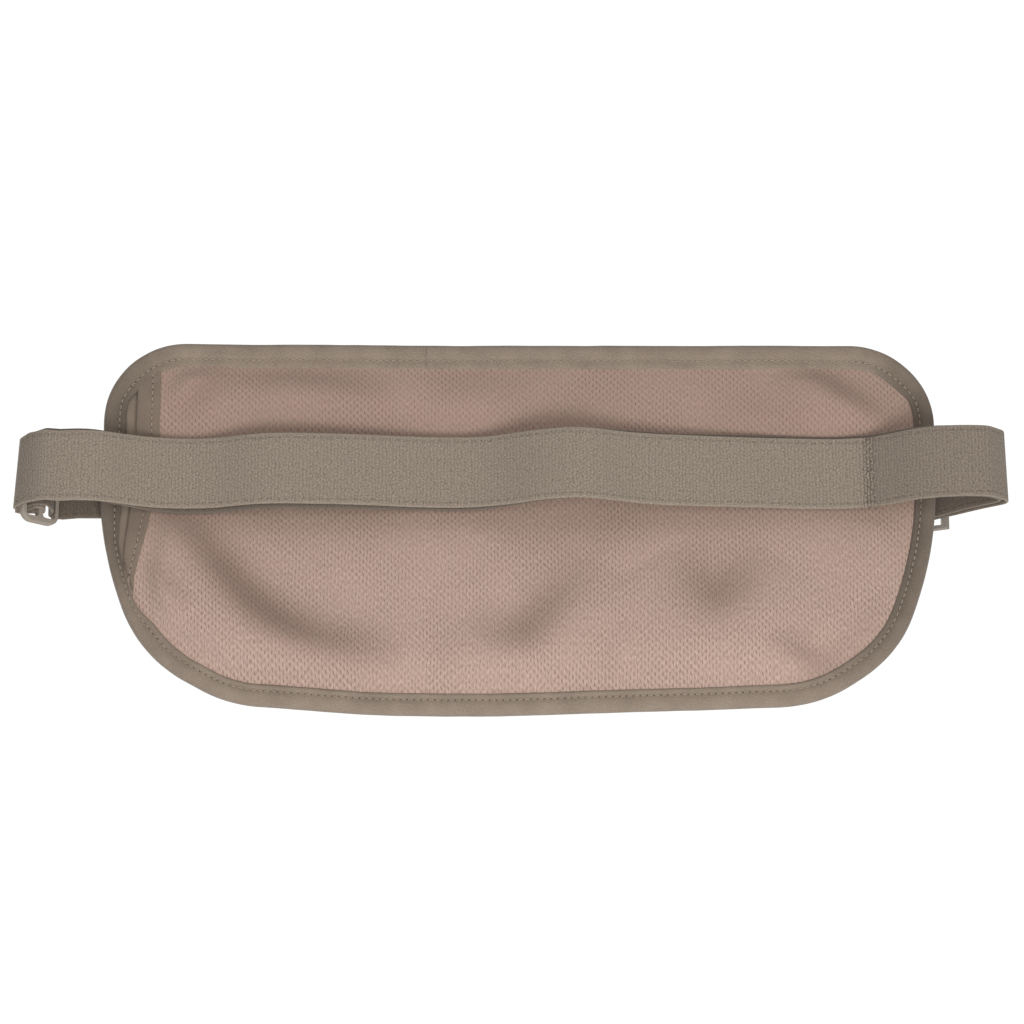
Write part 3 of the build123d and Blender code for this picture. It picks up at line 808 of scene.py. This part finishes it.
def coil(node, side):
    """One side of the chain: a flattened helix of nylon wire whose turns mesh with the other's."""
    low, high = box_mm(node)
    pitch, steps, ring = 1.5, 12, 5
    turns = int((high[0] - low[0] - 1) / pitch)
    angle = np.linspace(0, 2 * math.pi * turns, turns * steps + 1)
    phase = 0.0 if side > 0 else pitch / 2
    half_z = (high[2] - low[2]) / 2 + 0.12
    middle_z = (high[2] + low[2]) / 2 - side * 0.12
    half_y = (high[1] - low[1]) / 2 - 0.24
    middle_y = (high[1] + low[1]) / 2
    centre = np.stack(
        [
            low[0] + 0.4 + phase + angle / (2 * math.pi) * pitch,
            middle_y + half_y * np.sin(angle),
            middle_z + half_z * np.cos(angle) * side * -1,
        ],
        -1,
    )
    along = unit(np.gradient(centre, axis=0))
    first = unit(np.cross(along, [1.0, 0.0, 0.0]))
    second = np.cross(along, first)
    spokes = np.arange(ring) * 2 * math.pi / ring
    tube = centre[:, None, :] + 0.27 * (
        first[:, None, :] * np.cos(spokes)[None, :, None]
        + second[:, None, :] * np.sin(spokes)[None, :, None]
    )
    faces = grid_faces(len(centre), ring, wrap_columns=True)
    made = piece(f"{node}_wire", tube.reshape(-1, 3), faces, COIL)
    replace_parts(made, node)
    row_z = middle_z + side * 0.45
    x = span(low[0], high[0], 1.5)
    line = np.stack([x, np.full_like(x, high[1] - 0.06), np.full_like(x, row_z)], -1)
    stitches(f"{node}_sewing", line, (0, 1, 0), pitch=2.2, radius=0.16, fill=0.95)


zip_set("upper_zip")
zip_set("lower_zip")

# ---------------------------------------------------------------------- straps

web_half_width = 12.5
web_half_depth = 0.5


class Webbing:
    """A length of webbing on edge: its plan line, how high it rides, how it is pushed out of
    line, where it leans, and the painted shade it carries where it faces the body."""

    def __init__(self, line, rise=None, push=None, lean=None, shade_amount=None):
        self.line = line
        self.shade_amount = np.zeros(len(line)) if shade_amount is None else shade_amount
        self.heading = unit(np.gradient(line, axis=0))
        steps = np.linalg.norm(np.diff(line, axis=0), axis=1)
        self.run = np.concatenate([[0], np.cumsum(steps)])
        self.rise = np.zeros(len(line)) if rise is None else rise
        self.push = push
        self.lean = lean

    def reached(self, x, y, after=0):
        """The place on the line, from the one given on, that comes nearest to a plan point."""
        ahead = self.line[after:]
        return after + int(np.argmin(np.hypot(ahead[:, 0] - x, ahead[:, 1] - y)))

    def band(self, name, first=0, last=None, body="pouch", nodes=(), ends=()):
        """The stretch between two points of the line as a mesh; ends lists the cut ends, 0 or 1."""
        stretch = slice(first, len(self.line) if last is None else last + 1)
        line, heading, run = self.line[stretch], self.heading[stretch], self.run[stretch]
        out = np.stack([heading[:, 1], -heading[:, 0]], -1)
        rounding = 0.45
        flat = np.linspace(-1, 1, 14) * (web_half_width - rounding)
        turn = np.radians([30, 60, 90, 120, 150])
        brim = web_half_width - rounding + rounding * np.sin(turn)
        across = np.concatenate([flat, brim, flat[::-1], -brim])
        depth = np.concatenate([np.ones(14), np.cos(turn)])
        depth = np.concatenate([depth, -depth]) * web_half_depth
        offset = np.broadcast_to(depth, (len(line), len(depth))).copy()
        if self.push is not None:
            offset += self.push(line[:, :1], across[None, :], heading[:, :1])
        drift = 0.16 * rough(run, run * 0, 21.0, 3.3)
        points = np.empty((len(line), len(depth), 3))
        points[:, :, :2] = line[:, None, :] + out[:, None, :] * offset[:, :, None]
        points[:, :, 2] = strap_middle + self.rise[stretch, None] + across[None, :]
        points[:, :, 2] += drift[:, None] * np.sign(across)[None, :]
        if self.lean is not None:
            points[:, :, 0] += self.lean(line[:, :1], across[None, :])
        uv = np.stack(np.broadcast_arrays(run[:, None], across[None, :]), -1)
        count = len(depth)
        faces = grid_faces(len(line), count, wrap_columns=True).tolist()
        for end in ends:
            start = end * (len(line) - 1) * count
            faces.append(list(range(start, start + count)))
        # Painted shade on the faces turned towards the body, scaled by the line's shade amount
        facing = out[:, 1:] * np.sign(depth)[None, :]
        shade_amount = self.shade_amount[stretch, None] * np.clip(0.5 - 0.5 * facing, 0, 1)
        points, uv = points.reshape(-1, 3), uv.reshape(-1, 2)
        made = piece(name, points, faces, WEBBING, uv, body=body, painted_shade=shade_amount)
        if self.push is not None:
            # Painted shade in the crease of the sharp bend by the buckle, stored on the points
            crease_shade_weight = np.exp(-(((line[:, 0] - 119.3) / 2.2) ** 2)) * (heading[:, 0] > 0)
            mark_points(made, "painted_crease_shade", np.repeat(crease_shade_weight, count))
        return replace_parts(made, *nodes) if nodes else made


slide_turn = math.radians(40)
slide_centre = np.array([-162.6, -1.7])


def on_triglide(along, towards_body):
    """A plan point given along the tri-glide and out from its face on the body side."""
    lengthwise = np.array([math.cos(slide_turn), math.sin(slide_turn)])
    across = np.array([math.sin(slide_turn), -math.cos(slide_turn)])
    return tuple(slide_centre + along * lengthwise + towards_body * across)


def running_on(corners, radius):
    return [(*corner, radius) for corner in corners]


# The strap is one length of webbing. From its sewn end it wraps the adjuster's middle bar,
# crosses the body side, rounds the buckle's bar, comes back behind itself, threads the
# adjuster and ends sewn to the outer face. Each corner is x, y and the radius of its bend.
layer_step = 1.75
front_corners = [(-158, -14.6), (-144, -16.2), (-124, -6.4), (-106, -5.0), (-86, -12.8), (-56, -10.8)]
front_corners += [(-30, -6.8), (-11, -7.0), (9, -17.0), (22, -19.6), (42, -11.0), (70, -8.0)]
front_corners += [(96, -5.4), (118, -5.0), (136, -18.4), (150, -20.8)]
sewn_loop = [(-6.8, -4.6), (-3.4, -4.6), (-1.0, -2.0), (1.7, -2.0), (1.7, 2.0), (-2.0, 2.0)]
sewn_loop += [(-3.8, -3.25), (-8.4, -3.25), (-9.25, -2.1), (-9.25, 2.4)]
sewn_loop = [on_triglide(*place) for place in sewn_loop]
buckle_turn = [(167.0, -13.0, 3.2), (142.8, 7.0, 14.0), (136.9, 14.9, 3.0), (132.0, 14.9, 2.0)]
buckle_turn += [(132.0, 10.1, 2.0), (136.0, 10.0, 3.0), (163.8, -13.9, 2.0)]
threading = [(-8.2, 2.0), (-8.2, -2.0), (-5.1, -2.0), (-3.6, 3.5), (3.8, 3.5), (5.1, -2.3), (8.4, -2.3)]
threading = [on_triglide(*place) for place in threading]
rear_corners = [(-154.6, 5.4), (-138, 5.4), (-127, 3.1), (-96, 3.1)]
route = running_on(sewn_loop, 2.2) + running_on(front_corners, 200.0)
route += [(158.5, -20.4, 6.0), *buckle_turn, (158.5, -18.65, 6.0)]
route += running_on([(x, y + layer_step) for x, y in front_corners[::-1]], 200.0)
route += running_on(threading, 2.2) + running_on(rear_corners, 20.0)
strap_line = rounded_line([c[:2] for c in route], [c[2] for c in route[1:-1]], step=0.4)
on_front = np.interp(strap_line[:, 0], [-160, -152, 152, 160], [0, 1, 1, 0]) * (strap_line[:, 1] < -2)
on_front = on_front[:, None]
strap_line = smoothed(strap_line, 5) * (1 - on_front) + smoothed(strap_line, 70) * on_front
strap_line = smoothed(strap_line, 4)
strap_x, strap_y = strap_line[:, 0], strap_line[:, 1]
turn_at = int(np.argmax(strap_x))
past_turn = np.arange(len(strap_line)) - turn_at


def inner_rise(x):
    """The inner layer hangs a little lower at the left and higher at the right."""
    stations = [-158, -143, -118, -60, -15, 42, 90, 130, 150, 158]
    return np.interp(x, stations, [1.0, 0.9, -1.4, -1.2, -0.5, 1.1, 1.3, 1.1, 0.5, 0.2])


def front_push(x, across, heading):
    """Slight unevenness of slack elastic, and packed ribs on the inner side of the sharp bend."""
    wave = 0.18 * rough(x + across * 0, across + x * 0, 16.0, 7.7)
    window = np.exp(-(((x - 119.5) / 2.8) ** 2))
    ribs = window * (-0.3 + 0.1 * np.sin((x - 118) * 2 * math.pi / 1.6 + 0.25 * np.sin(across * 1.3)))
    return np.sign(heading) * (wave + ribs) * (np.abs(x) < 150)


def strap_lean(x, across):
    """The left fold leans in at the top and the right one a little too."""
    left = (0.3 + 0.06 * (across + 12.5)) * np.clip((-160 - x) / 9, 0, 1)
    return left - 0.03 * (across + 12.5) * np.clip((x - 158) / 6, 0, 1)


def strap_heights():
    """How far the strap rides above its level: on the inner layer, and at the left fold."""
    flat_part = (strap_y < -2) * (np.abs(strap_x) < 164)
    rise = inner_rise(strap_x) * np.clip((past_turn + 20) / 40, 0, 1) * flat_part
    rise = np.convolve(rise, np.ones(25) / 25, mode="same")
    rise += 0.8 * np.clip((-155 - strap_x) / 5, 0, 1) - 0.8 * np.clip((-167 - strap_x) / 4, 0, 1)
    return rise - 0.9 * np.clip((-150 - strap_x) / 9, 0, 1) * np.clip((strap_y + 4.0) / 3, 0, 1)


def strap_shade():
    """Painted shade: darker where the strap faces the body behind itself, and a little past its two bends.
    """
    behind = np.clip((past_turn + 4) / 12, 0, 1)
    behind *= 1 - np.clip((strap_x + 146) / 8, 0, 1) * (strap_y > 0) * (strap_x < 0)
    past_bend = 0.32 * np.clip((strap_x - 119) / 3, 0, 1) + 0.4 * np.clip((-160 - strap_x) / 6, 0, 1)
    return np.maximum(behind, past_bend * (strap_y < -2) * (past_turn < 0))


strap = Webbing(strap_line, strap_heights(), front_push, strap_lean, strap_shade())


def main_strap():
    """The strap, cut where it passes from one moving part to another."""
    outer_in = strap.reached(-158.0, -14.6)
    loop_out = strap.reached(*on_triglide(-8.4, -3.25))
    outer_out = int(np.argmin(np.abs(strap_x[:turn_at] - 158.0)))
    on_body_side = strap_y[turn_at:] <= -15
    inner_in = turn_at + int(np.argmin(np.abs(strap_x[turn_at:] - 158.0) + ~on_body_side * 99))
    inner_out = strap.reached(-158.0, -14.6 + layer_step, inner_in)
    threaded_in = strap.reached(*on_triglide(-8.2, -2.0), inner_in)
    threaded_out = strap.reached(*on_triglide(8.4, -2.3), threaded_in)
    rear_out = threaded_out + int(np.argmin(np.abs(strap_x[threaded_out:] + 150.2)))
    strap.band("strap_end_loop_wrap", 0, loop_out, body="triglide", nodes=["strap_end_loop"], ends=[0])
    outer_turn = strap.band("strap_outer_turn", loop_out, outer_in, body=None)
    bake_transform(outer_turn)
    strap.band("strap_outer_layer", outer_in, outer_out, nodes=["strap_front_outer"])
    right_turn = strap.band("strap_right_turn", outer_out, inner_in, body=None, nodes=["strap_right_loop"])
    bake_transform(right_turn)
    strap.band("strap_inner_layer", inner_in, inner_out, nodes=["strap_front_inner"])
    inner_turn = strap.band("strap_inner_turn", inner_out, threaded_in, body=None)
    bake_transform(inner_turn)
    strap.band("strap_threaded_run", threaded_in, threaded_out, body="triglide", nodes=["strap_left_fold"])
    rear = strap.band("strap_rear_run", threaded_out, rear_out, body=None)
    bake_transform(rear)
    strap.band("strap_anchor", rear_out, nodes=["strap_anchor_run"], ends=[1])


main_strap()

tab_corners = [(50, 3.1), (72.5, 3.1), (84.6, 9.9), (87.7, 10.1), (87.7, 14.7), (83.3, 14.8)]
tab_corners += [(71.4, 4.3), (50, 4.3)]


def sewn_box(name, low_x, high_x, face):
    """Stitches round a square of webbing and across it, on its outer side."""
    low_z, high_z = strap_middle - 9.5, strap_middle + 9.5
    corners = [(low_x, low_z), (high_x, low_z), (high_x, high_z), (low_x, high_z), (low_x, low_z)]
    corners += [(high_x, high_z), (high_x, low_z), (low_x, high_z)]
    line = np.vstack([resample([a, b], 0.6)[:-1] for a, b in zip(corners, corners[1:])])
    points = np.stack([line[:, 0], np.full(len(line), face), line[:, 1]], -1)
    stitches(name, points, (0, 1, 0), pitch=2.4, radius=0.22)


sewn_box("anchor_sewing", -117.0, -99.5, 3.66)
sewn_box("tab_sewing", 53.0, 67.0, 4.86)
tab = Webbing(smoothed(rounded_line(tab_corners, [14.0] * 6, step=0.35), 5))
tab.band("strap_tab", nodes=["strap_buckle_tab"], ends=[0, 1])

# -------------------------------------------------------------------- hardware


def repaint(node, material, bevel):
    """A CAD part shown as it is, with its edges broken and its own material."""
    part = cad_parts[node]
    part.data.materials.clear()
    part.data.materials.append(material)
    edge = part.modifiers.new("broken_edges", "BEVEL")
    edge.width = bevel * 0.001
    edge.segments = 2
    edge.limit_method = "ANGLE"
    edge.angle_limit = math.radians(35)
    edge.harden_normals = True
    part.data.shade_smooth()


for node in ("buckle_female", "buckle_male", "buckle_prong_top", "buckle_prong_bottom"):
    repaint(node, BUCKLE, 0.25)
repaint("triglide_slider", TRIGLIDE, 0.3)
for prefix in ("upper_zip", "lower_zip"):
    for part in ("slider", "pull", "closed_stop", "open_stop"):
        repaint(f"{prefix}_{part}", ZIP_METAL, 0.15)

# ------------------------------------------------------- room, light and camera


def floor_surface():
    plaster = Surface("floor", 0.9)
    tone = plaster.noise(plaster.solid(), 6.0, 4.0)
    colour = plaster.mix(tone, (0.8, 0.8, 0.8, 1), (0.84, 0.84, 0.84, 1))
    plaster.shader.inputs["Emission Color"].default_value = (1, 1, 1, 1)
    plaster.shader.inputs["Emission Strength"].default_value = 0.25
    return plaster.finish(colour, tone, 0.0005)


bpy.ops.mesh.primitive_plane_add(size=80, location=(0, 0, -1.8))
floor = bpy.context.object
floor.name = "floor"
floor.data.materials.append(floor_surface())


def studio_world(around, backdrop):
    """Dim surroundings with a bright backdrop straight behind the object."""
    world = bpy.data.worlds.new("studio")
    scene.world = world
    world.use_nodes = True
    nodes, links = world.node_tree.nodes, world.node_tree.links
    ray = nodes.new("ShaderNodeTexCoord").outputs["Generated"]
    facing = nodes.new("ShaderNodeVectorMath")
    facing.operation = "DOT_PRODUCT"
    links.new(ray, facing.inputs[0])
    facing.inputs[1].default_value = (0, math.cos(tilt), -math.sin(tilt))
    spread = nodes.new("ShaderNodeMapRange")
    spread.interpolation_type = "SMOOTHSTEP"
    links.new(facing.outputs["Value"], spread.inputs[0])
    for socket, number in zip(spread.inputs[1:5], (0.75, 0.97, around, backdrop)):
        socket.default_value = number
    links.new(spread.outputs[0], nodes["Background"].inputs[1])
    nodes["Background"].inputs[0].default_value = (1, 1, 1, 1)


tilt = math.radians(-17)
studio_world(0.35, 1.05)
scene.view_settings.view_transform = "Standard"


def softbox(name, place, size, power):
    light = bpy.data.lights.new(name, "AREA")
    light.shape = "DISK"
    light.size = size
    light.energy = power
    lamp = bpy.data.objects.new(name, light)
    scene.collection.objects.link(lamp)
    lamp.location = place
    lamp.rotation_mode = "QUATERNION"
    lamp.rotation_quaternion = (-Vector(place)).to_track_quat("-Z", "Y")


# Nearly flat light from the camera's side, so that the hollows stay soft
softbox("key", (0.5, -1.7, -1.2), 0.9, 21)
softbox("fill", (-0.2, -2.2, -0.1), 1.2, 9.5)
softbox("top", (-0.2, -0.9, 1.7), 1.0, 4)
softbox("back", (-0.9, 1.4, 0.8), 0.9, 26)

camera = bpy.data.objects.new("camera", bpy.data.cameras.new("camera"))
scene.collection.objects.link(camera)
scene.camera = camera
aim = Vector((-0.0019, 0.0, 0.0064))
toward_camera = Vector((0, -math.cos(tilt), math.sin(tilt)))
camera.location = aim + toward_camera * 1.5
camera.rotation_mode = "QUATERNION"
camera.rotation_quaternion = (-toward_camera).to_track_quat("-Z", "Y")
camera.data.sensor_width = 36
camera.data.lens = 155
